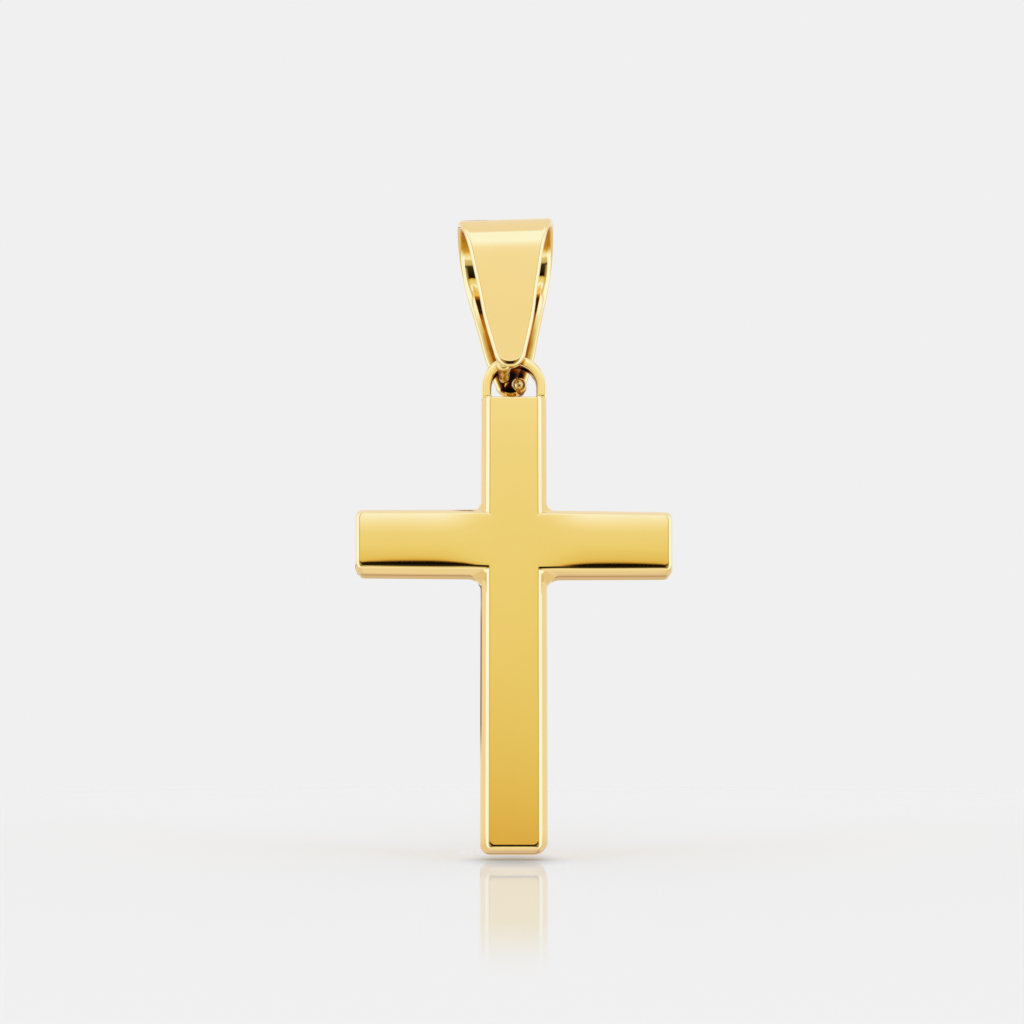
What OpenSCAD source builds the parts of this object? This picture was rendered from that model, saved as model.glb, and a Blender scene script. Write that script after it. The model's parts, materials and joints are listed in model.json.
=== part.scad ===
// Gold cross pendant on a folded, tapered bail.
// The cross hangs from the bail by the loop on its top end: the bail's two leaves
// end in short pegs that lie side by side under the crown of that loop.
// Front is -Y, up is +Z. The origin is the inside top of the bail, where a chain lies.

/* [Cross] */
// Width of each bar where it is widest, at the back
bar_w = 4; // [3.2:0.05:5.2]
// Width across both arms
span = 19.15; // [15:0.05:25]
// Height of the cross without its loop
cross_h = 27.6; // [23:0.1:36]
// Middle of the arms, below the top end
arm_drop = 9.05; // [6.5:0.1:11]
// Front to back thickness
thick = 2.2; // [1.8:0.05:3]
// How far the front face stands in from the sides
bevel_w = 0.42; // [0.2:0.01:0.6]
// How far the front face stands in from the arm ends
end_bevel = 0.3; // [0.2:0.01:0.6]
// Depth of the bevel, measured back from the front face
bevel_depth = 1.0; // [0.6:0.05:1.2]
// Radius of the outer corners, seen from the front
corner_r = 0.45; // [0.2:0.01:0.7]
// Radius of the fillets between the bars, at the back
inner_r = 0.5; // [0.2:0.01:0.8]
// Rounding of the front edge
front_round = 0.16; // [0.05:0.01:0.25]
// Rounding of the back edge
back_round = 0.12; // [0.05:0.01:0.2]

/* [Loop] */
// Outer radius of the loop on the top end
loop_r = 1.98; // [1.85:0.01:2.2]
// Thickness of the loop's band, seen from the front
loop_band = 0.6; // [0.4:0.01:0.65]
// Front to back width of the loop's band
loop_depth = 1.0; // [0.7:0.05:1.2]
// Height of the loop's centre over the top end
loop_rise = 0.55; // [0.5:0.01:1]

/* [Bail] */
// Width of the bail over its roll
bail_w = 6.06; // [5:0.02:8]
// Thickness of the folded strip
strip = 0.5; // [0.35:0.01:0.6]
// Radius inside the roll, where the chain lies
roll_r = 2.62; // [2.3:0.01:3.2]
// Height from the middle of the roll to the leaf ends
leaf_drop = 8.8; // [8:0.02:12]
// How far each leaf leans in
leaf_angle = 10.6; // [9:0.1:12]
// Width of the rounded leaf ends
tip_w = 2.04; // [1.8:0.02:2.2]

/* [Pegs] */
// Radius of the pegs under the loop
peg_r = 0.34; // [0.25:0.01:0.38]
// Gap between the two pegs
peg_gap = 0.18; // [0.06:0.01:0.24]
// Running room between the pegs and the loop's crown
peg_room = 0.14; // [0.08:0.01:0.2]
// How far the leaf ends reach below the pegs
tip_below = 0.02; // [0:0.01:0.15]
// Length of the front peg past the middle of the bail
front_peg_len = 0.7; // [0.3:0.05:0.9]
// How far the back peg stops short of the middle
back_short = 0.5; // [0:0.05:0.5]

/* [Pose] */
// How far the bail leans back over the cross
pitch = 22; // [18:1:29]
// How far the bail leans to the left
lean = 1.8; // [0:0.1:4]
// How far the bail sits to the left in the loop
sway = 0.16; // [0:0.01:0.2]

/* [Hidden] */
$fn = 96;

gold = [0.91, 0.75, 0.38];
gold_dark = [0.85, 0.68, 0.32];

// Steps in each rounded corner of the cross, and along each rounded edge
corner_steps = 6;
edge_steps = 4;
// Corner radii at the front face, as shares of those at the back
corner_front = 0.45;
inner_front = 0.15;
// How far the loop's legs go down into the top end
leg_root = 0.5;
// How far a cutting shape runs past what it cuts
overrun = 1;

// Half sizes of the cross, and its heights over the top end's back edge
half_bar = bar_w / 2;
half_span = span / 2;
arm_top = -arm_drop + half_bar;
arm_foot = -arm_drop - half_bar;

// The crown of the loop is the axis that the cross swings on
loop_mid_r = loop_r - loop_band / 2;
crown_z = loop_rise + loop_mid_r;
// Front to back middle of the loop, over the cross's centre of weight
loop_y = 1.14 * thick / 2.2;
// How far a corner of the crown's section reaches as the cross swings
crown_reach = norm([loop_depth, loop_band]) / 2;

// The pegs lie under the crown, and the leaf ends reach a little lower
peg_drop = crown_reach + peg_room + peg_r;
tip_drop = peg_drop + peg_r + tip_below;
roll_rise = leaf_drop - tip_drop;
peg_x = peg_r + peg_gap / 2;

// Place of the bail's middle: from the crown up to the roll, then to the chain's seat
roll_x = -sway - roll_rise * cos(pitch) * sin(lean);
roll_y = roll_rise * sin(pitch);
roll_z = roll_rise * cos(pitch) * cos(lean);
crown = [-roll_x, -roll_y, -roll_z - roll_r];

// Outline of the bail from the front: heights as shares of the roll's radius
// above its middle and of the leaf below it, then half widths as shares of bail_w / 2
ROLL_TABLE = [[1.00, 1.000], [0.87, 0.990], [0.70, 0.965], [0.50, 0.925], [0.25, 0.870], [0.00, 0.818]];
LEAF_TABLE = [[0.08, 0.770], [0.17, 0.725], [0.28, 0.670], [0.39, 0.614], [0.62, 0.510]];

function unit(v) = v / norm(v);

// Points of an arc that rounds the corner at b, between a and c
function round_corner(a, b, c, r, steps) =
    let (
        u = unit(a - b),
        w = unit(c - b),
        half = acos(u * w) / 2,
        centre = b + unit(u + w) * r / sin(half),
        start = b + u * r / tan(half) - centre,
        side = cross(u, w) > 0 ? -1 : 1,
        turn = side * (180 - 2 * half)
    )
    [for (i = [0:steps])
        let (t = turn * i / steps)
        centre + [start[0] * cos(t) - start[1] * sin(t), start[0] * sin(t) + start[1] * cos(t)]];

// Outline of the cross in X and Z, inset by d from its widest, with k from 0 at the
// back to 1 at the front face for the corner radii
function cross_outline(d, k) =
    let (
        x1 = half_bar - d,
        x2 = half_span - d * end_bevel / bevel_w,
        foot = -cross_h + d,
        p = [
            [x1, -d], [x1, arm_top - d], [x2, arm_top - d], [x2, arm_foot + d],
            [x1, arm_foot + d], [x1, foot], [-x1, foot], [-x1, arm_foot + d],
            [-x2, arm_foot + d], [-x2, arm_top - d], [-x1, arm_top - d], [-x1, -d]
        ],
        outer = corner_r * (1 - k * (1 - corner_front)),
        inner = inner_r * (1 - k * (1 - inner_front)),
        n = len(p)
    )
    [for (i = [0:n - 1])
        let (r = (i == 1 || i == 4 || i == 7 || i == 10) ? inner : outer)
        for (q = round_corner(p[(i + n - 1) % n], p[i], p[(i + 1) % n], r, corner_steps)) q];

// Section of a bar's side, as depth and inset: the back edge's rounding, the flat side,
// the bevel and the front edge's rounding
function side_section() = concat(
    round_corner([thick, half_bar], [thick, 0], [bevel_depth, 0], back_round, edge_steps),
    round_corner([thick, 0], [bevel_depth, 0], [0, bevel_w], bevel_depth / 4, edge_steps),
    round_corner([bevel_depth, 0], [0, bevel_w], [0, half_bar], front_round, edge_steps));

// Closed skin over a list of rings that have the same number of points. Each end is
// a fan round a hub, a point of that end that all of its outline can be seen from
module skin(rings, hubs) {
    n = len(rings[0]);
    m = len(rings);
    points = concat([for (ring = rings) for (q = ring) q], hubs);
    walls = [
        for (j = [0:m - 2])
        for (i = [0:n - 1])
        let (a = j * n + i, b = j * n + (i + 1) % n)
        for (f = [[a, b, b + n], [a, b + n, a + n]]) f
    ];
    first = [for (i = [0:n - 1]) [(i + 1) % n, i, n * m]];
    last = [for (i = [0:n - 1]) [(m - 1) * n + i, (m - 1) * n + (i + 1) % n, n * m + 1]];
    polyhedron(points = points, faces = concat(walls, first, last), convexity = 6);
}

// The cross from the back to the front face; Z is 0 at its top end
module cross_body() {
    skin(
        [for (s = side_section())
            [for (q = cross_outline(s[1], max(0, s[1] / bevel_w))) [q[0], s[0], q[1]]]],
        [[0, thick, -arm_drop], [0, 0, -arm_drop]]);
}

// The loop: a half round band on two straight legs, open from front to back
module loop_band_shape() {
    inner = loop_r - loop_band;
    difference() {
        union() {
            translate([0, loop_rise]) circle(loop_r);
            translate([-loop_r, -leg_root]) square([2 * loop_r, loop_rise + leg_root]);
        }
        translate([0, loop_rise]) circle(inner);
        translate([-inner, -leg_root - overrun]) square([2 * inner, loop_rise + leg_root + overrun]);
    }
}

module loop() {
    translate([0, loop_y + loop_depth / 2, 0])
        rotate([90, 0, 0])
            linear_extrude(loop_depth)
                loop_band_shape();
}

module cross_piece() {
    color(gold)
        translate(crown - [0, loop_y, crown_z])
            union() {
                cross_body();
                loop();
            }
}

// Side view of the bail's outer or inner surface: a roll with two leaves leaning in
module teardrop(r, foot) {
    x0 = r * cos(leaf_angle);
    y0 = -r * sin(leaf_angle);
    x1 = x0 - (foot + y0) * tan(leaf_angle);
    circle(r);
    polygon([[-x0, y0], [-x1, -foot], [x1, -foot], [x0, y0]]);
}

// Front view of the bail: wide over the roll, tapering to rounded leaf ends
module bail_outline() {
    half = bail_w / 2;
    outer = roll_r + strip;
    tip = tip_w / 2;
    right = concat(
        [[half, outer]],
        [for (t = ROLL_TABLE) [half * t[1], outer * t[0]]],
        [for (t = LEAF_TABLE) [half * t[1], -leaf_drop * t[0]]],
        [[tip, -leaf_drop + tip]]);
    left = [for (i = [len(right) - 1:-1:0]) [-right[i][0], right[i][1]]];
    polygon(concat(right, left));
    translate([0, -leaf_drop + tip]) circle(tip);
}

module strip_fold() {
    depth = 2 * (roll_r + strip + overrun);
    intersection() {
        rotate([90, 0, 90])
            linear_extrude(bail_w + 2 * overrun, center = true)
                difference() {
                    teardrop(roll_r + strip, leaf_drop);
                    teardrop(roll_r, leaf_drop + overrun);
                }
        rotate([90, 0, 0])
            linear_extrude(depth, center = true)
                bail_outline();
    }
}

// Inside face of a leaf at the height of the pegs, out from the middle
function leaf_inside() =
    let (down = leaf_drop - tip_below - peg_r)
    roll_r * cos(leaf_angle) - (down - roll_r * sin(leaf_angle)) * tan(leaf_angle);

module peg(x, from, to) {
    translate([x, from, -leaf_drop + tip_below + peg_r])
        rotate([-90, 0, 0])
            cylinder(r = peg_r, h = to - from);
}

module bail_piece() {
    root = leaf_inside() + strip / 2;
    color(gold_dark)
        translate([0, 0, -roll_r])
            rotate([-pitch, -lean, 0])
                union() {
                    strip_fold();
                    peg(-peg_x, -root, front_peg_len);
                    peg(peg_x, back_short, root);
                }
}

cross_piece();  // cross
bail_piece();  // bail
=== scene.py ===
import json
import math

import bmesh
import bpy
import numpy as np
from mathutils import Euler, Matrix


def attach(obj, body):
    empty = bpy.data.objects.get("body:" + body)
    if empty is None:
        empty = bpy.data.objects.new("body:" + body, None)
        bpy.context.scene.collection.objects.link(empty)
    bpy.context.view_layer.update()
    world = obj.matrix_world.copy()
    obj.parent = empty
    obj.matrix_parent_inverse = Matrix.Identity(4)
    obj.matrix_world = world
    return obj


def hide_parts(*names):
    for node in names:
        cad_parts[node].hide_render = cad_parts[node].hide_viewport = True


bl_info = {
    "name": "Gold cross pendant",
    "version": (1, 0, 0),
    "blender": (4, 5, 0),
    "location": "3D View > Sidebar > Pendant",
    "description": "Makes a polished gold cross pendant on a folded bail, with its stage",
    "category": "Object",
}

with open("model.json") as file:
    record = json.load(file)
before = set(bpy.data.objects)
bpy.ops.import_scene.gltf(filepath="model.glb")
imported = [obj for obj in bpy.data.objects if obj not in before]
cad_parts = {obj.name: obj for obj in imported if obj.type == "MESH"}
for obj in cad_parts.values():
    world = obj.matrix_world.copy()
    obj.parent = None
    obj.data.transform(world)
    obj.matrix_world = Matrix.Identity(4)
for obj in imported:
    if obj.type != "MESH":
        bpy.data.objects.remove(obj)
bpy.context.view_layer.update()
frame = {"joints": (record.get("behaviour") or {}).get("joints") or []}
MM = 0.001
# Middle of the loop's crown, where the cross swings, in millimetres
CROWN = [value / MM for value in frame["joints"][0]["pos_m"]]

# Front to back middle of the loop, as a share of the cross's thickness
LOOP_SEAT = 1.14 / 2.2
# Width of the right arm's lower bevel, as a share of the left one's
RIGHT_BEVEL = 0.9
# How much smaller the radii of the outer corners and of the fillets are at the face
OUTER_SHARPER = 0.4
INNER_SHARPER = 0.85
# The corners of the cross's outline, counted from the right one of its top end: the fillets
# between the bars, then shares of the named radius at the back and at the face, then how far
# the hand finished outline stands out to the right and up there, in millimetres
FILLETS = (1, 4, 7, 10)
CORNER_SHARES = {0: (0.3, 0.3), 3: (1.2, 1.2), 4: (1.5, 1.5), 5: (1.9, 1.1), 6: (1.35, 1.15), 7: (1.5, 1.5),
                 8: (1.2, 1.2), 11: (0.3, 0.3)}
UNEVEN = {1: (0, 0.02), 3: (-0.04, 0.03), 7: (0, -0.07), 8: (0.05, 0), 9: (0, 0.05), 10: (0, 0.06)}

# Outline of the bail from the front: heights as shares of the roll's radius above its
# middle and of the leaf below it, then half widths as shares of the full half width
ROLL_TABLE = [(1.00, 1.000), (0.87, 0.990), (0.70, 0.965), (0.50, 0.925), (0.25, 0.870), (0.00, 0.818)]
LEAF_TABLE = [(0.08, 0.770), (0.17, 0.725), (0.28, 0.670), (0.39, 0.614), (0.62, 0.510)]
# How much narrower the front leaf is than the back one
FRONT_NARROWER = 0.035

# The brightest light of the room, at which its colours are 1
BRIGHTEST = 2.2
# Two lights that come back in the room: bright bluish paper and a pale table
PAPER = (1.05, 1.32, 2.1)
TABLE = (0.95, 0.96, 1.15)
# The room's light by the height of a direction, from -1 straight down to 1 straight up:
# in front of the cross, and behind it
FRONT_LIGHT = [
    (-1.0, TABLE), (-0.80, (1.05, 1.15, 1.3)), (-0.76, (0.75, 0.7, 0.5)), (-0.62, (0.7, 0.62, 0.4)),
    (-0.55, (0.05, 0.04, 0.03)), (-0.03, (0, 0, 0)), (0.0, (0.45, 0.27, 0.06)), (0.022, (0.78, 0.57, 0.18)),
    (0.07, (0.84, 0.76, 0.36)), (0.15, (0.91, 0.89, 0.57)), (0.235, (0.93, 0.93, 0.70)),
    (0.27, (0.98, 1.02, 0.95)), (0.31, (1.02, 1.13, 1.4)), (0.35, PAPER), (0.53, PAPER),
    (0.59, (0.98, 0.98, 0.98)), (0.66, (0.97, 0.98, 0.98)), (0.72, (1.0, 1.06, 1.2)),
    (0.77, (1.03, 1.2, 1.7)), (0.82, PAPER), (0.978, PAPER), (0.986, TABLE), (1.0, TABLE)]
BACK_LIGHT = [
    (-1.0, (0.92, 0.9, 0.88)), (-0.73, (0.92, 0.9, 0.9)), (-0.66, (0.78, 0.72, 0.72)),
    (-0.58, (0.66, 0.58, 0.6)), (-0.5, (0.42, 0.3, 0.2)), (-0.4, (0.66, 0.54, 0.45)),
    (-0.05, (0.72, 0.58, 0.36)), (0.0, (0.92, 0.9, 0.92)), (0.8, (0.93, 0.92, 0.94)),
    (1.0, (0.95, 0.97, 1.15))]
# Colours of the warm light on both sides of the camera, the side boxes, the two dark patches
# behind, and the low light behind on both sides, which the rounded corners mirror
WARM = (0.7, 0.52, 0.2)
SIDE_BOX = (1.05, 1.35, 2.15)
BROWN = (0.3, 0.17, 0.05)
TAN = (0.84, 0.77, 0.72)

# Side of the picture in pixels, then the camera's focal length and upward shift in them
PICTURE = 1024
FOCAL = 1879.41
SHIFT = 51
# Width of the camera's sensor in millimetres, its place in metres and how far it looks up in degrees
SENSOR = 36.0
EYE = (0.000260833, -0.11390344, -0.041864505)
LOOK_UP = 10.1549
# Half width of the floor in metres
FLOOR_HALF = 0.12


def size(name, description, mm):
    """A length that the user can change, kept in metres and given here in millimetres."""
    return bpy.props.FloatProperty(
        name=name, description=description, default=mm * MM, min=0, unit="LENGTH", precision=6)


def turn(name, description, degrees):
    """An angle that the user can change."""
    return bpy.props.FloatProperty(
        name=name, description=description, default=math.radians(degrees), subtype="ANGLE", unit="ROTATION")


def share(name, description, value):
    """A plain number from 0 to 1."""
    return bpy.props.FloatProperty(name=name, description=description, default=value, min=0, max=1)


def strength(name, description, value):
    """A plain number from 0 up."""
    return bpy.props.FloatProperty(name=name, description=description, default=value, min=0)


def tint(name, description, rgb):
    """A linear colour that the user can change."""
    return bpy.props.FloatVectorProperty(
        name=name, description=description, default=rgb, subtype="COLOR", size=3, min=0, max=1)


class CrossSizes(bpy.types.PropertyGroup):
    """Sizes of the cross and of the loop on its top end."""
    bar_w: size("Bar width", "Width of each bar where it is widest", 4.0)
    span: size("Span", "Width across both arms", 19.15)
    height: size("Height", "Height of the cross without its loop", 27.6)
    arm_drop: size("Arm drop", "Middle of the arms, below the top end", 9.05)
    thick: size("Thickness", "Front to back thickness", 2.2)
    bevel_w: size("Bevel width", "How far the face stands in from the bar's sides", 0.4)
    top_bevel: size("Upper bevel", "How far the face stands in from the arms' upper sides", 0.4)
    low_bevel: size("Lower bevel", "How far the face stands in from the arms' lower sides", 0.3)
    end_bevel: size("End bevel", "How far the face stands in from the arm ends", 0.16)
    foot_bevel: size("Foot bevel", "How far the face stands in from the foot", 0.32)
    head_bevel: size("Head bevel", "How far the face stands in from the top end", 0.26)
    bevel_depth: size("Bevel depth", "Depth of the bevel from the front face", 1.0)
    knee_r: size("Knee radius", "Rounding between the bars' sides and the bevel", 1.8)
    corner_r: size("Corner radius", "Radius of the outer corners from the front", 0.45)
    inner_r: size("Fillet radius", "Radius of the fillets between the bars", 0.5)
    side_round: size("Side edge radius", "Rounding of the front edge, but for the upper sides", 0.34)
    right_low: size("Right arm low", "How far the right arm's lower side hangs below the left one's", 0.12)
    right_dip: size("Right arm dip", "How far the right arm's upper side falls towards its end", 0.1)
    upper_round: size("Upper edge radius", "Rounding of the front edge at the upper sides", 0.12)
    back_round: size("Back edge radius", "Rounding of the back edge", 0.12)
    crown: size("Crown", "Fall of the polished face from its middle to its edges", 0.06)
    end_fall: size("End fall", "Depth of the worn fall at the arm ends", 0.03)
    end_fall_w: size("End fall width", "Width of the worn fall at the arm ends", 0.7)
    polish_w: size("Polish width", "Width of the worn fall along the lower edges", 0.55)
    polish_fall: size("Polish fall", "Depth of the worn fall along the lower edges", 0.04)
    loop_r: size("Loop radius", "Outer radius of the loop", 1.98)
    loop_band: size("Loop band", "Thickness of the loop's band", 0.6)
    loop_depth: size("Loop depth", "Front to back width of the loop's band", 1.0)
    loop_rise: size("Loop rise", "Height of the loop's centre over the top end", 0.55)
    loop_round: size("Loop edge radius", "Rounding of the band's edges", 0.12)
    leg_root: size("Leg root", "How far the loop's legs go down into the top end", 0.5)


class BailSizes(bpy.types.PropertyGroup):
    """Sizes of the folded bail and of its two pegs."""
    width: size("Width", "Width of the bail over its roll", 6.18)
    strip: size("Strip", "Thickness of the folded strip", 0.55)
    shift: size("Shift", "How far the folded strip sits to the left of its pegs", 0.07)
    roll_r: size("Roll radius", "Radius inside the roll", 2.62)
    leaf_drop: size("Leaf drop", "Height from the middle of the roll to the leaf ends", 8.8)
    back_longer: size("Back leaf longer", "How much further down the back leaf reaches", 0.24)
    leaf_angle: turn("Leaf angle", "How far each leaf leans in", 10.6)
    tip_w: size("Tip width", "Width of the rounded leaf ends", 2.04)
    rim_r: size("Rim radius", "Rounding round the outer face", 0.22)
    inner_rim: size("Inner rim height", "Height of the rounding round the inner face", 0.3)
    inner_rim_w: size("Inner rim width", "Width of the rounding round the inner face", 0.55)
    tip_bevel: size("Tip bevel", "Width of the small bevel round the outer face's ends", 0.27)
    tip_slope: turn("Tip slope", "Slope of the small bevel at the leaf ends", 28)
    bead_r: size("Bead radius", "Radius of the bead on the back peg's end", 0.47)
    swell: size("Inner swell", "How far the inner face stands out along its middle", 0.1)
    peg_r: size("Peg radius", "Radius of the pegs under the loop", 0.34)
    peg_gap: size("Peg gap", "Gap between the two pegs", 0.18)
    front_peg: size("Front peg", "Length of the front peg past the middle", 0.6)
    back_short: size("Back peg", "How far the back peg stops short of the middle", 0.5)
    tip_below: size("Tip below", "How far the leaf ends reach below the pegs", 0.02)
    pitch: turn("Pitch", "How far the bail leans back over the cross", 22)
    lean: turn("Lean", "How far the bail leans to the left", 1.8)
    bend_ease: size("Bend easing", "How gradually the roll runs into the leaves", 1.0)


class GoldLook(bpy.types.PropertyGroup):
    """Colours and polish of the gold, and the strength of its painted shade."""
    light: tint("Gold", "Colour of the polished gold", (0.94, 0.71, 0.3))
    deep: tint("Deep gold", "Colour of the gold where it is toned", (0.91, 0.665, 0.25))
    # Painted shade: how much darker and redder the gold's colour is painted where it would mirror its own
    # dark inside
    depth: share("Depth", "How much darker the gold is where it mirrors itself", 0.5)
    painted_redness: strength("Redness", "How much redder the gold is where it mirrors itself", 2.6)
    polish: share("Roughness", "Roughness of the mirror polish", 0.05)
    cast: share("Cast roughness", "How much rougher the pegs are than the rest", 0.2)
    wave: size("Polish wave", "Height of the soft wave that polishing leaves", 0.0011)


class StageLook(bpy.types.PropertyGroup):
    """Floor, backdrop and light."""
    pale: share("Backdrop", "Brightness of the pale backdrop", 0.871)
    floor: tint("Floor", "Colour of the floor, set to meet the backdrop's brightness", (0.905, 0.807, 0.609))
    floor_tilt: turn("Floor tilt", "How far the floor sheet slopes down to the front", 6)
    floor_gap: size("Floor gap", "Gap between the foot of the cross and the floor", 0.3)
    key: strength("Key", "Strength of the whole room's light", 1.0)
    side: strength("Side", "Strength of the side boxes", 1.0)


class Term:
    """A socket's value that Python's operators turn into Math nodes."""

    def __init__(self, nodes, socket):
        self.nodes = nodes
        self.socket = socket

    def _math(self, operation, a, b):
        return self.nodes.add("ShaderNodeMath", {0: a, 1: b}, operation=operation)

    def __add__(self, other):
        return self._math("ADD", self, other)

    def __radd__(self, other):
        return self._math("ADD", other, self)

    def __sub__(self, other):
        return self._math("SUBTRACT", self, other)

    def __rsub__(self, other):
        return self._math("SUBTRACT", other, self)

    def __mul__(self, other):
        return self._math("MULTIPLY", self, other)

    def __rmul__(self, other):
        return self._math("MULTIPLY", other, self)

    def __truediv__(self, other):
        return self._math("DIVIDE", self, other)

    def __rtruediv__(self, other):
        return self._math("DIVIDE", other, self)

    def __pow__(self, other):
        return self._math("POWER", self, other)

    def __rpow__(self, other):
        return self._math("POWER", other, self)

    def output(self, name):
        """Another output of the same node."""
        return Term(self.nodes, self.socket.node.outputs[name])

    def between(self, start, end, low=0.0, high=1.0):
        """Goes smoothly from low to high as the value goes from start to end."""
        return self.nodes.add("ShaderNodeMapRange", {"Value": self, 1: start, 2: end, 3: low, 4: high},
                              interpolation_type="SMOOTHSTEP")

    def window(self, start, end, soft):
        """1 between start and end and 0 outside, with soft edges."""
        return self.between(start - soft, start + soft) * self.between(end - soft, end + soft, 1.0, 0.0)


class Nodes:
    """Adds nodes to one tree."""

    def __init__(self, tree):
        self.tree = tree

    def add(self, kind, values=None, out=0, stops=None, **settings):
        """A node of one kind with its settings, its ramp's stops and its sockets' values or links."""
        node = self.tree.nodes.new(kind)
        for name, value in settings.items():
            setattr(node, name, value)
        if stops:
            ramp = node.color_ramp.elements
            while len(ramp) < len(stops):
                ramp.new(1)
            for element, (place, colour) in zip(ramp, stops):
                element.position = place
                element.color = colour
        for key, value in (values or {}).items():
            if isinstance(value, Term):
                self.tree.links.new(value.socket, node.inputs[key])
            else:
                node.inputs[key].default_value = value
        return Term(self, node.outputs[out]) if len(node.outputs) else node

    def mix(self, factor, a, b):
        """Goes from colour a to colour b as the factor goes from 0 to 1."""
        return self.add("ShaderNodeMix", {0: factor, 6: a, 7: b}, out=2, data_type="RGBA")

    def noise(self, place, scale, detail, **values):
        """Soft noise from 0 to 1 over a place in millimetres."""
        return self.add("ShaderNodeTexNoise", {"Vector": place, "Scale": scale, "Detail": detail, **values})


def gold_material(name, look):
    """Mirror polished yellow gold with faint tone changes, hairline scratches, a soft polish wave and
    painted shade where it would mirror its own dark inside.
    """
    material = bpy.data.materials.new(name)
    material.use_nodes = True
    material.node_tree.nodes.clear()
    n = Nodes(material.node_tree)
    place = n.add("ShaderNodeTexCoord", out="Object")
    in_mm = n.add("ShaderNodeVectorMath", {0: place, "Scale": 1 / MM}, operation="SCALE")
    tone = n.noise(in_mm, 0.22, 3.0, Roughness=0.55)
    base = n.mix(tone, (*look.light, 1), (*look.deep, 1))
    # Painted shade: where the gold would mirror its own dark inside, a vertex attribute darkens and reddens
    # its colour, a little unevenly
    painted_mirror_shade = n.add("ShaderNodeAttribute", out="Fac", attribute_name="painted_mirror_shade")
    uneven_painted_shade = painted_mirror_shade * (0.5 + n.noise(in_mm, 1.2, 1.0) * 0.5)
    base = n.add("ShaderNodeGamma", {"Color": base, "Gamma": 1 + uneven_painted_shade * look.painted_redness})
    base = n.mix(uneven_painted_shade * look.depth, base, (0, 0, 0, 1))
    # Hairlines run across the bars and down them, here and there
    across = n.add("ShaderNodeVectorMath", {0: in_mm, 1: (1.0, 1.0, 26.0)}, operation="MULTIPLY")
    down = n.add("ShaderNodeVectorMath", {0: in_mm, 1: (22.0, 1.0, 1.6)}, operation="MULTIPLY")
    hairs = (n.noise(across, 0.9, 2.0) + n.noise(down, 1.1, 2.0)) * n.noise(in_mm, 0.7, 3.0)
    cast = n.add("ShaderNodeAttribute", out="Fac", attribute_name="cast")
    rough = look.polish + hairs * 0.03 + uneven_painted_shade * 0.1 + cast * look.cast
    height = n.noise(in_mm, 0.38, 1.5) + hairs * 0.006
    bump = n.add("ShaderNodeBump", {"Strength": 1.0, "Distance": look.wave, "Height": height})
    shader = n.add("ShaderNodeBsdfPrincipled", {
        "Base Color": base, "Metallic": 1.0, "Roughness": rough, "Normal": bump})
    n.add("ShaderNodeOutputMaterial", {"Surface": shader})
    return material


def linked(name, data):
    """A new object in the scene."""
    made = bpy.data.objects.new(name, data)
    bpy.context.scene.collection.objects.link(made)
    return made


def mesh_object(name, vertices, faces):
    """A smooth object from points in millimetres, with its normals pointing outwards."""
    mesh = bpy.data.meshes.new(name)
    mesh.from_pydata([tuple(float(c) * MM for c in v) for v in vertices], [], faces)
    bm = bmesh.new()
    bm.from_mesh(mesh)
    bmesh.ops.remove_doubles(bm, verts=bm.verts, dist=1e-8)
    bmesh.ops.recalc_face_normals(bm, faces=bm.faces)
    for face in bm.faces:
        face.smooth = True
    bm.to_mesh(mesh)
    bm.free()
    return linked(name, mesh)


def plain_copy(source, name):
    """The evaluated shape of an object as a plain mesh, with the source removed."""
    graph = bpy.context.evaluated_depsgraph_get()
    mesh = bpy.data.meshes.new_from_object(source.evaluated_get(graph), depsgraph=graph)
    bpy.data.objects.remove(source)
    return linked(name, mesh)


def join(name, parts, recalculate=False):
    """One object from several parts that belong to one piece, with their normals made anew if asked."""
    bm = bmesh.new()
    for part in parts:
        bm.from_mesh(part.data)
    for face in bm.faces:
        face.smooth = True
        face.material_index = 0
    if recalculate:
        bmesh.ops.recalc_face_normals(bm, faces=bm.faces)
    mesh = bpy.data.meshes.new(name)
    bm.to_mesh(mesh)
    bm.free()
    for part in parts:
        bpy.data.objects.remove(part)
    return linked(name, mesh)


def unit(v):
    """A vector's direction, at length 1."""
    return v / np.linalg.norm(v)


def round_corner(a, b, c, r, steps):
    """Points of an arc that rounds the corner at b, between a and c."""
    a, b, c = (np.asarray(q, float) for q in (a, b, c))
    u = unit(a - b)
    w = unit(c - b)
    half = math.acos(float(np.clip(u @ w, -1, 1))) / 2
    centre = b + unit(u + w) * r / math.sin(half)
    start = b + u * r / math.tan(half) - centre
    side = -1 if u[0] * w[1] - u[1] * w[0] > 0 else 1
    turn_by = side * (math.pi - 2 * half)
    found = []
    for i in range(steps + 1):
        t = turn_by * i / steps
        found.append(centre + np.array([
            start[0] * math.cos(t) - start[1] * math.sin(t),
            start[0] * math.sin(t) + start[1] * math.cos(t)]))
    return found


def ease(value, start, end):
    """Rises smoothly from 0 at start to 1 at end."""
    t = np.clip((value - start) / (end - start), 0, 1)
    return t * t * (3 - 2 * t)


def wall_faces(rings, n):
    """Four sided faces between neighbouring rings of n points each."""
    faces = []
    for j in range(rings - 1):
        for i in range(n):
            a = j * n + i
            b = j * n + (i + 1) % n
            faces.append((a, b, b + n, a + n))
    return faces


def end_faces(rings, n):
    """One face over the first ring and one over the last."""
    return [tuple(range(n)), tuple(range((rings - 1) * n, rings * n))]


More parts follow.
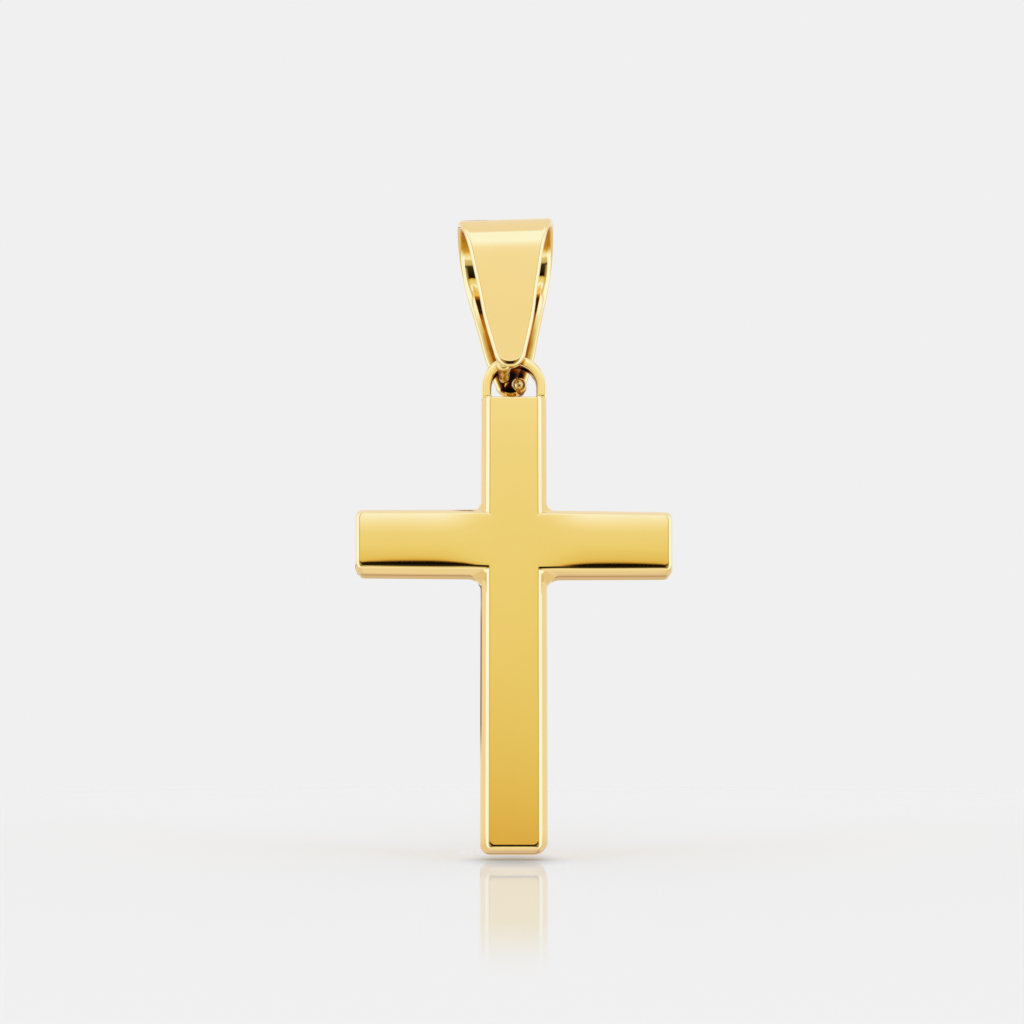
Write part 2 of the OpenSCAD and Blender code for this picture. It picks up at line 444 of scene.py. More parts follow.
def cross_outline(s, inset, k, steps=9, cuts=14):
    """Outline of the cross in X and Z, inset from its widest; k is 0 at the back and 1 at the face."""
    half_bar = s.bar_w / MM / 2
    bevel = s.bevel_w / MM
    inner_part = max(0.0, inset - bevel)
    outer_part = min(inset, bevel) / bevel
    right_bevel = s.low_bevel * RIGHT_BEVEL
    x1 = half_bar - bevel * outer_part - inner_part
    x2 = (s.span / 2 - s.end_bevel * outer_part) / MM - inner_part
    top = (-s.arm_drop - s.top_bevel * outer_part) / MM + half_bar - inner_part
    left = (-s.arm_drop + s.low_bevel * outer_part) / MM - half_bar + inner_part
    right = (-s.arm_drop - s.right_low + right_bevel * outer_part) / MM - half_bar + inner_part
    low = (-s.height + s.foot_bevel * outer_part) / MM + inner_part
    head = -s.head_bevel * outer_part / MM - inner_part
    p = np.array([
        (x1, head), (x1, top), (x2, top - s.right_dip / MM), (x2, right), (x1, right), (x1, low),
        (-x1, low), (-x1, left), (-x2, left), (-x2, top), (-x1, top), (-x1, head)])
    for i, offset in UNEVEN.items():
        p[i] += offset
    outer = s.corner_r / MM * (1 - k * OUTER_SHARPER) * max(0.0, 1 - inner_part / (half_bar - bevel))
    inner = s.inner_r / MM * (1 - k * INNER_SHARPER)
    n = len(p)
    corners = []
    for i in range(n):
        at_back, at_face = CORNER_SHARES.get(i, (1, 1))
        radius = (inner if i in FILLETS else outer) * (at_back + (at_face - at_back) * k)
        corners.append(round_corner(p[i - 1], p[i], p[(i + 1) % n], radius, steps))
    found = []
    for i in range(n):
        found += corners[i]
        a = corners[i][-1]
        b = corners[(i + 1) % n][0]
        found += [a + (b - a) * j / cuts for j in range(1, cuts)]
    return np.array(found)


def side_section(s, front_round):
    """Section of a bar's side as depth and inset, from the back to the face, for one front edge radius."""
    thick = s.thick / MM
    knee = s.bevel_depth / MM
    bevel = s.bevel_w / MM
    back = s.back_round / MM
    # A place well inside the bar, the narrow flat beside a rounding that keeps the shading there
    # flat, the end of the straight side behind the knee, and a place along the bevel
    far = 2.0
    flat = 0.02
    straight = 0.42
    along = 0.4
    rows = [(thick, back + flat)]
    rows += round_corner((thick, far), (thick, 0.0), (knee, 0.0), back, 6)
    rows += [(thick - back - flat, 0.0), (knee + straight, 0.0)]
    rows += round_corner((thick, 0.0), (knee, 0.0), (0.0, bevel), s.knee_r / MM, 8)
    rows += [(knee * (1 - along), bevel * along)]
    rows += round_corner((knee, 0.0), (0.0, bevel), (0.0, far), front_round / MM, 10)
    return rows


def face_fall(s, x, z):
    """How far the hand polished face falls back at each point."""
    half = (s.bar_w / 2 - s.bevel_w) / MM
    mid = -s.arm_drop / MM
    # Distances from the bars' middle lines as shares of half a bar's face
    u = np.abs(x) / half
    v = np.abs(z - mid) / half
    on_arms = v < 1.5
    # The crown grows along each bar from near the middle and fades past the bar's edges, and it
    # is lower on the upright bar
    grows = (0.4, 2.8)
    fades = (0.95, 2.2)
    over_arms = np.minimum(v, 1) ** 2 * ease(u, *grows) * (1 - ease(v, *fades))
    over_bar = np.minimum(u, 1) ** 2 * ease(v, *grows) * (1 - ease(u, *fades))
    fall = s.crown / MM * (over_arms + over_bar * 0.7)
    from_end = np.maximum((s.span / 2 - s.end_bevel) / MM - np.abs(x), 0)
    fall = fall + s.end_fall / MM * np.maximum(1 - from_end * MM / s.end_fall_w, 0) ** 2 * on_arms
    # The fall along the arms' lower edges is widest near the middle of each arm, and wider on
    # the left one
    left = ease(-x, 0, 1)
    widest = 5.9
    reach = 5.2
    swell = np.maximum(1 - ((np.abs(x) - widest) / reach) ** 2, 0.3)
    width = s.polish_w / MM * swell * (1.3 + 0.2 * left)
    bevel = s.low_bevel * (RIGHT_BEVEL + (1 - RIGHT_BEVEL) * left)
    low = mid - (s.bar_w / 2 + s.right_low * (1 - left) - bevel) / MM
    above = np.maximum(z - low, 0)
    outside = ease(np.abs(x), half - 0.1, half + 1.2)
    under_arms = np.maximum(1 - above / width, 0) ** 3 * outside * on_arms
    above = np.maximum(z + (s.height - s.foot_bevel) / MM, 0)
    foot_width = 0.2
    foot_share = 0.28
    at_foot = np.maximum(1 - above / foot_width, 0) ** 3 * foot_share * (1 - ease(u, 0.7, 0.98))
    return fall + s.polish_fall / MM * (under_arms + at_foot)


def cross_body(s):
    """The bevelled cross; Z is 0 at its top end and Y is 0 at its front face."""
    bevel = s.bevel_w / MM
    knee = s.bevel_depth / MM
    # How much of the softer front edge each point of the outline has: all of it but for the
    # upper sides, which are sharper
    line = cross_outline(s, bevel / 4, 0.25)
    edge = np.roll(line, -1, 0) - np.roll(line, 1, 0)
    edge /= np.linalg.norm(edge, axis=1)[:, None]
    soft = np.clip(np.abs(edge[:, 1]) + np.maximum(-edge[:, 0], 0), 0, 1)[:, None]
    bodies = []
    for radius in (s.upper_round, s.side_round):
        rows = side_section(s, radius)
        # Rings over the face, closer at its edge, end just short of the bars' middle lines
        reach = rows[-1][1]
        span = s.bar_w / MM / 2 - reach - 0.02
        rows += [(0.0, reach + span * t ** 1.4) for t in np.linspace(0, 1, 26)[1:]]
        rings = []
        for depth, inset in rows:
            line = cross_outline(s, inset, min(1, max(0, inset / bevel)))
            drop = face_fall(s, line[:, 0], line[:, 1]) * max(0.0, 1 - depth / knee)
            rings.append(np.stack([line[:, 0], depth + drop, line[:, 1]], 1))
        bodies.append(rings)
    rings = [sharp * (1 - soft) + rounded * soft for sharp, rounded in zip(*bodies)]
    n = len(rings[0])
    return np.concatenate(rings), wall_faces(len(rings), n) + end_faces(len(rings), n)


def new_tree(name, inputs):
    """A Geometry Nodes tree that takes and gives geometry, with its named inputs as terms."""
    tree = bpy.data.node_groups.new(name, "GeometryNodeTree")
    for label, kind in (("Geometry", "Geometry"), *inputs, ("Material", "Material")):
        tree.interface.new_socket(label, in_out="INPUT", socket_type="NodeSocket" + kind)
    tree.interface.new_socket("Geometry", in_out="OUTPUT", socket_type="NodeSocketGeometry")
    n = Nodes(tree)
    sockets = n.add("NodeGroupInput").socket.node.outputs
    return n, {socket.name: Term(n, socket) for socket in sockets if socket.name}


def end_tree(n, geometry, material):
    """Ends a tree with real geometry that has its material."""
    real = n.add("GeometryNodeRealizeInstances", {"Geometry": geometry})
    done = n.add("GeometryNodeSetMaterial", {"Geometry": real, "Material": material})
    n.add("NodeGroupOutput", {0: done})
    return n.tree


def band_tree():
    """Node tree that sweeps a rounded flat band along a curve."""
    n, given = new_tree("Sweep band", (("Band", "Float"), ("Depth", "Float"), ("Edge radius", "Float")))
    flat = n.add("GeometryNodeCurvePrimitiveQuadrilateral", {
        "Width": given["Depth"], "Height": given["Band"]})
    soft = n.add("GeometryNodeFilletCurve", {
        "Curve": flat, "Radius": given["Edge radius"], "Count": 6}, mode="POLY")
    swept = n.add("GeometryNodeCurveToMesh", {
        "Curve": given["Geometry"], "Profile Curve": soft, "Fill Caps": True})
    smooth = n.add("GeometryNodeSetShadeSmooth", {"Geometry": swept})
    return end_tree(n, smooth, given["Material"])


def fold_tree():
    """Node tree that folds a flat strip along a curve: Z is the length along it and Y the height over it."""
    n, given = new_tree("Fold strip", (("Path", "Object"),))
    path = n.add("GeometryNodeObjectInfo", {"Object": given["Path"]}, out="Geometry")
    across = n.add("ShaderNodeSeparateXYZ", {0: n.add("GeometryNodeInputPosition")})
    sample = n.add("GeometryNodeSampleCurve", {"Curves": path, "Length": across.output("Z")}, out="Position",
                   mode="LENGTH", use_all_curves=True)
    normal = n.add("ShaderNodeVectorMath", {0: sample.output("Tangent"), 1: (1.0, 0.0, 0.0)},
                   operation="CROSS_PRODUCT")
    lift = n.add("ShaderNodeVectorMath", {0: normal, "Scale": across.output("Y")}, operation="SCALE")
    side = n.add("ShaderNodeCombineXYZ", {"X": across})
    point = n.add("ShaderNodeVectorMath", {0: sample, 1: lift}, operation="ADD")
    point = n.add("ShaderNodeVectorMath", {0: point, 1: side}, operation="ADD")
    moved = n.add("GeometryNodeSetPosition", {"Geometry": given["Geometry"], "Position": point})
    return end_tree(n, moved, given["Material"])


def with_nodes(obj, tree, values):
    """Puts a node tree on an object with its named inputs set."""
    modifier = obj.modifiers.new(tree.name, "NODES")
    modifier.node_group = tree
    for item in tree.interface.items_tree:
        if item.in_out == "INPUT" and item.name in values:
            modifier[item.identifier] = values[item.name]


def path_curve(name, points):
    """An open curve through points in millimetres."""
    curve = bpy.data.curves.new(name, "CURVE")
    curve.dimensions = "3D"
    spline = curve.splines.new("POLY")
    spline.points.add(len(points) - 1)
    for point, place in zip(spline.points, points):
        point.co = (*(float(c) * MM for c in place), 1)
    return linked(name, curve)


def loop_path(s):
    """Middle line of the loop's band, from one leg's root to the other's; Z is 0 at the top end."""
    r = (s.loop_r - s.loop_band / 2) / MM
    rise = s.loop_rise / MM
    # Inside the top end the legs lean in, to stay under the bevel
    lean = 0.9
    inside = -0.1
    heights = np.linspace(-s.leg_root / MM, rise, 17)[:-1]
    leg = [(r - lean * max(0.0, inside - z), 0, z) for z in heights]
    crown = [(r * math.cos(a), 0, rise + r * math.sin(a)) for a in np.linspace(0, math.pi, 73)]
    return leg + crown + [(-x, y, z) for x, y, z in reversed(leg)]


def places_and_normals(obj):
    """Places in millimetres and normals of an object's vertices."""
    places = np.array([v.co for v in obj.data.vertices]) / MM
    return places, np.array([v.normal for v in obj.data.vertices])


def facing_in(co, normal, middle):
    """How far each point faces the middle that it belongs to, from -1 to 1."""
    away = co - middle
    away /= np.maximum(np.linalg.norm(away, axis=1), 0.01)[:, None]
    return -(normal * away).sum(1)


def keep_values(obj, name, values):
    """Keeps one number for each vertex of an object, for its material to read."""
    found = obj.data.attributes.new(name, "FLOAT", "POINT")
    found.data.foreach_set("value", np.asarray(values, np.float32))


def loop_painted_shade(obj, centre, reach):
    """Painted shade on the loop's inner wall, where it would mirror the pegs; the centre and the reach are
    in millimetres.
    """
    co, normal = places_and_normals(obj)
    middle = np.stack([np.full(len(co), centre[0]), co[:, 1], np.maximum(co[:, 2], centre[2])], 1)
    inside = np.linalg.norm(co - middle, axis=1) < reach
    over_top_end = co[:, 2] > centre[2] - 0.52
    return 1.5 * ease(facing_in(co, normal, middle), 0.3, 0.8) * inside * over_top_end


def leaf_painted_shade(obj):
    """Painted shade on the faces between the two leaves and under the roll, strongest at the leaf ends,
    before the bail is tilted.
    """
    co, normal = places_and_normals(obj)
    z = co[:, 2]
    middle = np.stack([co[:, 0], np.zeros(len(co)), np.minimum(z, 0)], 1)
    inward = ease(facing_in(co, normal, middle), 0.85, 0.985)
    down_leaves = ease(-z, 0.9, 4.4)
    under_roll = ease(z, 2.3, 2.6)
    at_ends = 1.8 * ease(-z, 6.2, 7.6)
    return inward * (np.maximum(down_leaves, under_roll) + at_ends)


def show_gold(piece, gold):
    """Gives a piece its one material."""
    piece.data.materials.clear()
    piece.data.materials.append(gold)


class PENDANT_OT_cross(bpy.types.Operator):
    """Makes the bevelled cross with the loop on its top end"""
    bl_idname = "pendant.cross"
    bl_label = "Make cross"

    def execute(self, context):
        s = context.scene.pendant_cross
        gold = gold_material("Polished gold of the cross", context.scene.pendant_gold)
        body = mesh_object("cross_body", *cross_body(s))
        loop_y = LOOP_SEAT * s.thick
        path = path_curve("loop_path", loop_path(s))
        path.data.transform(Matrix.Translation((0, loop_y, 0)))
        with_nodes(path, band_tree(), {
            "Band": s.loop_band, "Depth": s.loop_depth, "Edge radius": s.loop_round, "Material": gold})
        loop = plain_copy(path, "cross_loop")
        piece = join("gold_cross", [body, loop])
        mid_r = s.loop_r - s.loop_band / 2
        piece.data.transform(Matrix.Translation(
            (CROWN[0] * MM, CROWN[1] * MM - loop_y, CROWN[2] * MM - s.loop_rise - mid_r)))
        centre = (CROWN[0], CROWN[1], CROWN[2] - mid_r / MM)
        # The loop's inner wall gets painted shade in its colour through a vertex attribute
        keep_values(piece, "painted_mirror_shade", loop_painted_shade(piece, centre, mid_r / MM))
        show_gold(piece, gold)
        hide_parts("cross")
        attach(piece, "cross")
        return {"FINISHED"}


def strip_path(s):
    """Middle line of the folded strip from the back leaf's end over the roll to the front leaf's end."""
    r = (s.roll_r + s.strip / 2) / MM
    lean = s.leaf_angle
    bend = r * (math.pi / 2 + lean)
    straight = (s.leaf_drop / MM - r * math.sin(lean)) / math.cos(lean)
    step = 0.04
    longer = round(s.back_longer / MM / step)
    along = np.arange(0, bend + straight, step)
    along = np.append(along, along[-1] + step * np.arange(1, longer + 1))
    curve = (1 - ease(along, bend - s.bend_ease / MM, bend + s.bend_ease / MM)) / r
    heading = np.concatenate([[0], np.cumsum((curve[1:] + curve[:-1]) / 2 * step)])
    y = np.concatenate([[0], np.cumsum((np.cos(heading[1:]) + np.cos(heading[:-1])) / 2 * step)])
    z = r - np.concatenate([[0], np.cumsum((np.sin(heading[1:]) + np.sin(heading[:-1])) / 2 * step)])
    half = np.stack([np.zeros(len(y)), -y, z], 1)
    return np.concatenate([half[::-1] * (1, -1, 1), half[1:len(half) - longer]])


def smooth_table(x, table):
    """Reads a table of (place, value) with a smooth curve through its points."""
    px = np.array([p[0] for p in table])
    py = np.array([p[1] for p in table])
    slope = np.gradient(py, px)
    i = np.clip(np.searchsorted(px, x) - 1, 0, len(px) - 2)
    h = px[i + 1] - px[i]
    t = np.clip((x - px[i]) / h, 0, 1)
    return ((2 * t**3 - 3 * t**2 + 1) * py[i] + (t**3 - 2 * t**2 + t) * h * slope[i]
            + (-2 * t**3 + 3 * t**2) * py[i + 1] + (t**3 - t**2) * h * slope[i + 1])


def strip_widths(s):
    """Table of heights and half widths of the bail, and how fast the leaves narrow at their ends."""
    outer = (s.roll_r + s.strip) / MM
    drop = s.leaf_drop / MM
    half = s.width / MM / 2
    tip = s.tip_w / MM / 2
    table = [(-drop * h, half * w) for h, w in reversed(LEAF_TABLE)]
    table += [(outer * h, half * w) for h, w in reversed(ROLL_TABLE)]
    fall = (table[0][1] - tip) / (table[0][0] + drop - tip)
    return [(-drop, tip - fall * tip), (tip - drop, tip)] + table, fall


def leaf_end(s, fall, narrow, longer):
    """Angle at which a leaf's rounded end meets its sides, and the end's radius."""
    tip = s.tip_w / MM / 2
    slope = math.tan(fall * math.cos(s.leaf_angle))
    meet = math.atan(slope * narrow)
    far = tip / math.cos(s.leaf_angle) + longer
    return meet, narrow * math.cos(meet) * (tip - slope * far) / (1 - math.sin(meet))


def strip_outline(s):
    """Outline of the flat strip in X and Z, its length and the radii of its back and front ends."""
    path = strip_path(s)
    steps = np.linalg.norm(np.diff(path, axis=0), axis=1)
    length = np.concatenate([[0], np.cumsum(steps)])
    total = length[-1]
    table, fall = strip_widths(s)
    meet_b, back_r = leaf_end(s, fall, 1.0, s.back_longer / MM)
    meet_f, front_r = leaf_end(s, fall, 1 - FRONT_NARROWER, 0.0)
    first = back_r * (1 - math.sin(meet_b))
    last = total - front_r * (1 - math.sin(meet_f))
    stations = np.linspace(first, last, 240)
    z = np.interp(stations, length, path[:, 2])
    to_front = ease(stations, total * 0.5, total * 0.75)
    width = smooth_table(z, table) * (1 - FRONT_NARROWER * to_front)
    right = np.stack([width, stations], 1)
    left = np.stack([-width, stations], 1)[::-1]
    a = np.linspace(meet_f, math.pi - meet_f, 37)[1:-1]
    front = np.stack([front_r * np.cos(a), total - front_r + front_r * np.sin(a)], 1)
    a = np.linspace(meet_b, math.pi - meet_b, 37)[1:-1]
    back = np.stack([-back_r * np.cos(a), back_r - back_r * np.sin(a)], 1)
    return np.concatenate([right, front, left, back]), total, back_r, front_r


def rim_sections(s):
    """Sections of the strip's rim along its sides and round its ends, as (distance in, height) pairs."""
    t = s.strip / MM / 2
    edge = (0.0, t - s.tip_bevel / MM * math.tan(s.tip_slope))
    brow = (s.tip_bevel / MM, t)
    # At the ends: the radii at both sides of the small bevel, then the height and the width of
    # the inner rounding
    edge_r = 0.25
    brow_r = 0.12
    tip_inner = (0.08, 0.12)
    # Flats beside the roundings, which keep the shading of both faces flat
    inner_flat = 0.06
    outer_flats = (0.05, 0.12)
    side_arc = round_corner((0.0, -t), (0.0, t), (1.0, t), s.rim_r / MM, 12)
    tip_arc = round_corner((0.0, -t), edge, brow, edge_r, 8)
    tip_arc += round_corner(edge, brow, (1.0, t), brow_r, 3)
    sections = []
    for arc, (low, wide) in ((side_arc, (s.inner_rim / MM, s.inner_rim_w / MM)), (tip_arc, tip_inner)):
        inner = round_corner((1.0, -t), (0.0, -t), (0.0, 0.0), low, 8)
        section = [(wide + inner_flat, -t)]
        section += [(q[0] * wide / low, q[1]) for q in inner]
        sections.append(section + arc + [(arc[-1][0] + flat, t) for flat in outer_flats])
    return sections


def filled(ring, ends, shares, swell):
    """Rings inside a ring, drawn in towards the line between its two ends and swollen down there."""
    mid = np.clip(ring[:, 2], *ends)
    return [np.stack([ring[:, 0] * c, ring[:, 1] - swell * (1 - c * c), mid + (ring[:, 2] - mid) * c], 1)
            for c in shares]


def flat_strip(s):
    """The bail's strip before it is folded: X across, Y over its middle and Z along it."""
    line, total, back_r, front_r = strip_outline(s)
    edge = np.roll(line, -1, 0) - np.roll(line, 1, 0)
    out = np.stack([edge[:, 1], -edge[:, 0]], 1)
    out /= np.linalg.norm(out, axis=1)[:, None]
    at_tip = np.maximum(out[:, 1] * np.sign(line[:, 1] - total / 2), 0) ** 1.5
    rings = []
    for (d_side, h_side), (d_tip, h_tip) in zip(*rim_sections(s)):
        d = d_side + (d_tip - d_side) * at_tip
        height = h_side + (h_tip - h_side) * at_tip
        rings.append(np.stack([line[:, 0] - out[:, 0] * d, height, line[:, 1] - out[:, 1] * d], 1))
    ends = (back_r, total - front_r)
    inner = filled(rings[0], ends, (0.9, 0.78, 0.62, 0.42, 0.2, 0.0), s.swell / MM)
    face = filled(rings[-1], ends, (0.75, 0.5, 0.25, 0.0), 0.0)
    rings = inner[::-1] + rings + face
    return np.concatenate(rings), wall_faces(len(rings), len(line))


def rod(start, end, radii, sides=40):
    """A round rod from start to end; radii are (share of the length, radius) pairs."""
    start = np.array(start, float)
    axis = np.array(end, float) - start
    u = unit(np.cross(axis, (1, 0, 0)))
    w = unit(np.cross(axis, u))
    vertices = []
    for t, r in radii:
        for i in range(sides):
            a = 2 * math.pi * i / sides
            vertices.append(start + axis * t + (u * math.cos(a) + w * math.sin(a)) * r)
    return vertices, wall_faces(len(radii), sides) + end_faces(len(radii), sides)


def peg_places(s):
    """The pegs' distance from the middle, their roots' distance from it, and how far down they are."""
    lean = s.leaf_angle
    down = (s.leaf_drop - s.tip_below - s.peg_r) / MM
    roll = s.roll_r / MM
    inside = roll * math.cos(lean) - (down - roll * math.sin(lean)) * math.tan(lean)
    return (s.peg_r + s.peg_gap / 2) / MM, inside + s.strip / MM / 2, down


def front_peg(s):
    """The peg from the front leaf: wide at its root, with a long domed end."""
    peg_x, root, down = peg_places(s)
    peg_r = s.peg_r / MM
    end = s.front_peg / MM
    dome = peg_r * 2
    # The flare is how much wider the root is, and the rim is how far its end face is drawn in
    flare = 0.4
    rim = 0.3
    radii = [(t, peg_r * (1 + flare * (1 - ease(t, 0.1, 0.6))) * (1 - rim + rim * ease(t, -0.04, 0.08)))
             for t in np.linspace(0, 0.6, 24)]
    for a in np.linspace(0, math.pi / 2, 12):
        radii.append((1 - dome / (root + end) * (1 - math.sin(a)), max(0.004, peg_r * math.cos(a))))
    left = -peg_x - s.shift / MM / 2
    return mesh_object("front_peg", *rod((left, -root, -down), (left, end, -down), radii))


def back_peg(s):
    """The peg from the back leaf, with a bead on its end."""
    peg_x, root, down = peg_places(s)
    peg_r = s.peg_r / MM
    short = s.back_short / MM
    rim = 0.4
    bead = [(t, peg_r * (1 - rim + rim * ease(t, -0.06, 0.14))) for t in np.linspace(0, 0.15, 6)]
    # The bead starts this far from its end, swells over the first part and closes over the cap
    length = 1.15
    cap_length = 0.5
    for away in np.linspace(length, 0, 28):
        swell = ease(-away, -length, -0.7) * (s.bead_r / MM - peg_r)
        cap = math.sqrt(max(0.0, 1 - max(0.0, 1 - away / cap_length) ** 2))
        bead.append((1 - away / (root - short), max(0.004, (peg_r + swell) * cap)))
    return mesh_object("back_peg", *rod((peg_x, root, -down), (peg_x, short, -down), bead))


class PENDANT_OT_bail(bpy.types.Operator):
    """Makes the folded bail with the two pegs that carry the loop"""
    bl_idname = "pendant.bail"
    bl_label = "Make bail"

    def execute(self, context):
        s = context.scene.pendant_bail
        gold = gold_material("Polished gold of the bail", context.scene.pendant_gold)
        flat = mesh_object("bail_strip", *flat_strip(s))
        path = path_curve("strip_path", strip_path(s))
        with_nodes(flat, fold_tree(), {"Path": path, "Material": gold})
        strip = plain_copy(flat, "bail_fold")
        bpy.data.objects.remove(path)
        strip.data.transform(Matrix.Translation((-s.shift, 0, 0)))
        front = front_peg(s)
        back = back_peg(s)
        # Painted shade on the pegs: a little all over the front peg, which would mirror the leaves, and more
        # on the back peg behind its bead
        front_peg_painted_shade = np.full(len(front.data.vertices), 0.08)
        behind = places_and_normals(back)[0][:, 1] - s.back_short / MM
        back_peg_painted_shade = 1.4 * ease(behind, 0.45, 0.75)
        bail_painted_shade = np.concatenate([leaf_painted_shade(strip), front_peg_painted_shade, back_peg_painted_shade])
        on_strip = np.zeros(len(strip.data.vertices))
        cast = np.concatenate([on_strip, np.ones(len(front_peg_painted_shade) + len(back_peg_painted_shade))])
        piece = join("gold_bail", [strip, front, back], recalculate=True)
        keep_values(piece, "painted_mirror_shade", bail_painted_shade)
        keep_values(piece, "cast", cast)
        tilt = Matrix.Rotation(-s.lean, 4, "Y") @ Matrix.Rotation(-s.pitch, 4, "X")
        piece.data.transform(Matrix.Translation((0, 0, -s.roll_r)) @ tilt)
        show_gold(piece, gold)
        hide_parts("bail")
        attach(piece, "bail")
        return {"FINISHED"}


def lamp(rgb):
    """A light's colour as shares of the brightest light."""
    return tuple(c / BRIGHTEST for c in rgb) + (1,)


def lamp_stops(stops):
    """Ramp stops from (height of the direction, colour) pairs."""
    return [(0.5 + 0.5 * h, lamp(colour)) for h, colour in stops]


def studio_light(look):
    """A pale room whose reflections see a soft sky box, two side boxes and a dark zone before the floor."""
    world = bpy.data.worlds.new("Pale room")
    world.use_nodes = True
    world.node_tree.nodes.clear()
    n = Nodes(world.node_tree)
    place = n.add("ShaderNodeTexCoord", out="Generated")
    # A direction's height is Z. Ahead is 1 behind the cross and -1 at the camera, and aside is to the right
    x = n.add("ShaderNodeSeparateXYZ", {0: place})
    y = x.output("Y")
    z = x.output("Z")
    level = (x * x + y * y) ** 0.5
    ahead = y / level
    aside = x / level
    front = n.add("ShaderNodeValToRGB", {0: z * 0.5 + 0.5}, stops=lamp_stops(FRONT_LIGHT))
    back = n.add("ShaderNodeValToRGB", {0: z * 0.5 + 0.5}, stops=lamp_stops(BACK_LIGHT))
    warm = ahead.between(-0.99, -0.9) * z.window(-0.5, 0.78, 0.06) * 0.75
    front = n.mix(warm, front, lamp(WARM))
    behind = y.between(-0.1, 0.1)
    colour = n.mix(behind, front, back)
    side = ahead.window(-0.80, 0.42, 0.05) * z.window(-0.85, 0.72, 0.06)
    colour = n.mix(side, colour, lamp([c * look.side for c in SIDE_BOX]))
    low_shade = aside.window(-0.6, -0.02, 0.05) * z.window(0.082, 0.156, 0.012)
    high_shade = aside.window(-0.037, -0.0215, 0.003) * z.window(0.49, 0.57, 0.015)
    colour = n.mix((low_shade + high_shade) * behind, colour, lamp(BROWN))
    round_corners = (1 - aside.window(-0.3, 0.3, 0.1)) * z.window(-0.9, 0.0, 0.03) * behind
    colour = n.mix(round_corners, colour, lamp(TAN))
    seen = n.add("ShaderNodeLightPath", out="Is Camera Ray")
    colour = n.mix(seen, colour, lamp((look.pale,) * 3))
    sky = n.add("ShaderNodeBackground", {"Color": colour, "Strength": look.key * BRIGHTEST})
    n.add("ShaderNodeOutputWorld", {"Surface": sky})
    return world


def floor_material(look):
    """Pale, faintly glossy floor with a painted soft shadow under the foot; it fades out all round."""
    material = bpy.data.materials.new("Pale floor")
    material.use_nodes = True
    material.node_tree.nodes.clear()
    n = Nodes(material.node_tree)
    # Places on the floor in millimetres from under the crown, and two distances from there
    split = n.add("ShaderNodeSeparateXYZ", {0: n.add("ShaderNodeTexCoord", out="Object")})
    x = split * (1 / MM)
    y = split.output("Y") * (1 / MM)
    away = (x * x + y * y) ** 0.5
    close = (x * x + y * y * 0.4) ** 0.5
    # Painted shadow: the floor's colour turns darker and bluer round the foot, on top of the real shadow
    painted_contact_shadow = close.between(0.8, 3.6, 0.31, 0.0)
    tone = n.mix(painted_contact_shadow, (*look.floor, 1), (0.0, 0.02, 0.08, 1))
    matt = n.add("ShaderNodeBsdfDiffuse", {"Color": tone})
    shine = n.add("ShaderNodeBsdfGlossy", {"Color": (0.94, 0.955, 0.935, 1), "Roughness": 0.06})
    # The shine is in front of the foot and under it, as wide as the foot's reflection
    wide = ((x * x) ** 0.5).between(2.6, 4.2, 1.0, 0.0)
    in_front = y.between(3.0, 9.0, 1.0, 0.0)
    gloss = away.between(28.0, 48.0, 0.38, 0.0) * wide * close.between(1.5, 5.0, 0.5, 1.0) * in_front
    floor = n.add("ShaderNodeMixShader", {0: gloss, 1: matt, 2: shine})
    clear = n.add("ShaderNodeBsdfTransparent")
    both = n.add("ShaderNodeMixShader", {0: away.between(55.0, 110.0), 1: floor, 2: clear})
    n.add("ShaderNodeOutputMaterial", {"Surface": both})
    return material


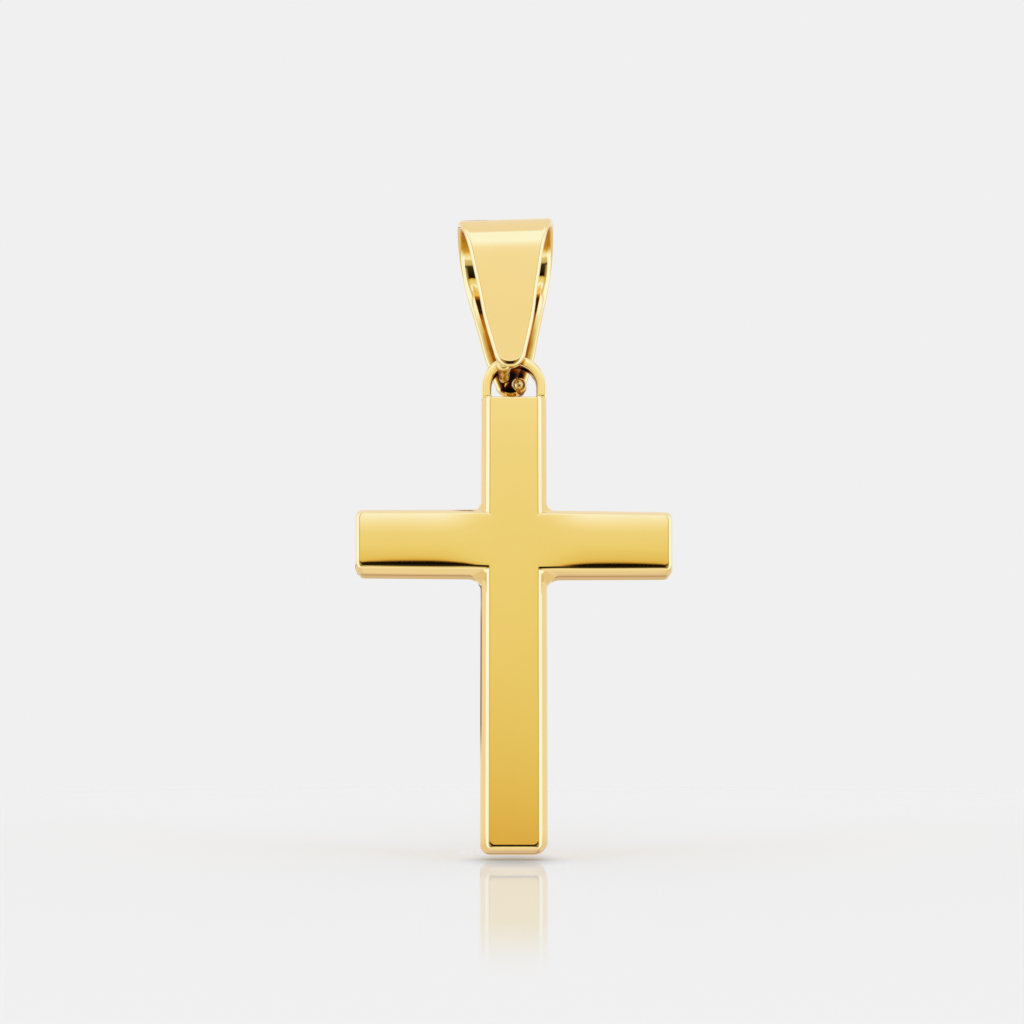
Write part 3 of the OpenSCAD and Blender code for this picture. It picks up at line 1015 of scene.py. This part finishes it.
class PENDANT_OT_stage(bpy.types.Operator):
    """Makes the floor, the room's light and the camera"""
    bl_idname = "pendant.stage"
    bl_label = "Make stage"

    def execute(self, context):
        scene = context.scene
        look = scene.pendant_stage
        scene.view_settings.view_transform = "Standard"
        scene.world = studio_light(look)
        s = scene.pendant_cross
        top_end = CROWN[2] * MM - (s.loop_rise + s.loop_r - s.loop_band / 2)
        mesh = bpy.data.meshes.new("floor")
        h = FLOOR_HALF
        mesh.from_pydata([(-h, -h, 0), (h, -h, 0), (h, h, 0), (-h, h, 0)], [], [(0, 1, 2, 3)])
        mesh.materials.append(floor_material(look))
        floor = linked("floor", mesh)
        place = Matrix.Translation((CROWN[0] * MM, CROWN[1] * MM, top_end - s.height - look.floor_gap))
        floor.matrix_world = place @ Matrix.Rotation(look.floor_tilt, 4, "X")
        floor.visible_glossy = False
        lens = bpy.data.cameras.new("Camera")
        lens.sensor_width = SENSOR
        lens.lens = SENSOR * FOCAL / PICTURE
        lens.shift_y = SHIFT / PICTURE
        lens.clip_start = 0.005
        lens.clip_end = 10.0
        camera = linked("Camera", lens)
        camera.location = EYE
        camera.rotation_euler = Euler((math.radians(90 + LOOK_UP), 0, 0))
        scene.camera = camera
        return {"FINISHED"}


class PENDANT_PT_panel(bpy.types.Panel):
    """Sizes, looks and steps of the pendant"""
    bl_idname = "PENDANT_PT_panel"
    bl_label = "Pendant"
    bl_space_type = "VIEW_3D"
    bl_region_type = "UI"
    bl_category = "Pendant"

    def draw(self, context):
        for title, group, step in (
                ("Cross", context.scene.pendant_cross, "pendant.cross"),
                ("Bail", context.scene.pendant_bail, "pendant.bail"),
                ("Gold", context.scene.pendant_gold, None),
                ("Stage", context.scene.pendant_stage, "pendant.stage")):
            box = self.layout.box()
            box.label(text=title)
            for name in group.__annotations__:
                box.prop(group, name)
            if step:
                box.operator(step)


CLASSES = (
    CrossSizes, BailSizes, GoldLook, StageLook,
    PENDANT_OT_cross, PENDANT_OT_bail, PENDANT_OT_stage, PENDANT_PT_panel)
GROUPS = {
    "pendant_cross": CrossSizes, "pendant_bail": BailSizes,
    "pendant_gold": GoldLook, "pendant_stage": StageLook}


def register():
    """Adds the pendant's classes and settings to Blender."""
    for kind in CLASSES:
        bpy.utils.register_class(kind)
    for name, kind in GROUPS.items():
        setattr(bpy.types.Scene, name, bpy.props.PointerProperty(type=kind))


def unregister():
    """Takes the pendant's classes and settings out again."""
    for name in GROUPS:
        delattr(bpy.types.Scene, name)
    for kind in reversed(CLASSES):
        bpy.utils.unregister_class(kind)


def main():
    """Makes the pendant and its stage."""
    register()
    bpy.ops.pendant.cross()
    bpy.ops.pendant.bail()
    bpy.ops.pendant.stage()


if __name__ == "__main__":
    main()
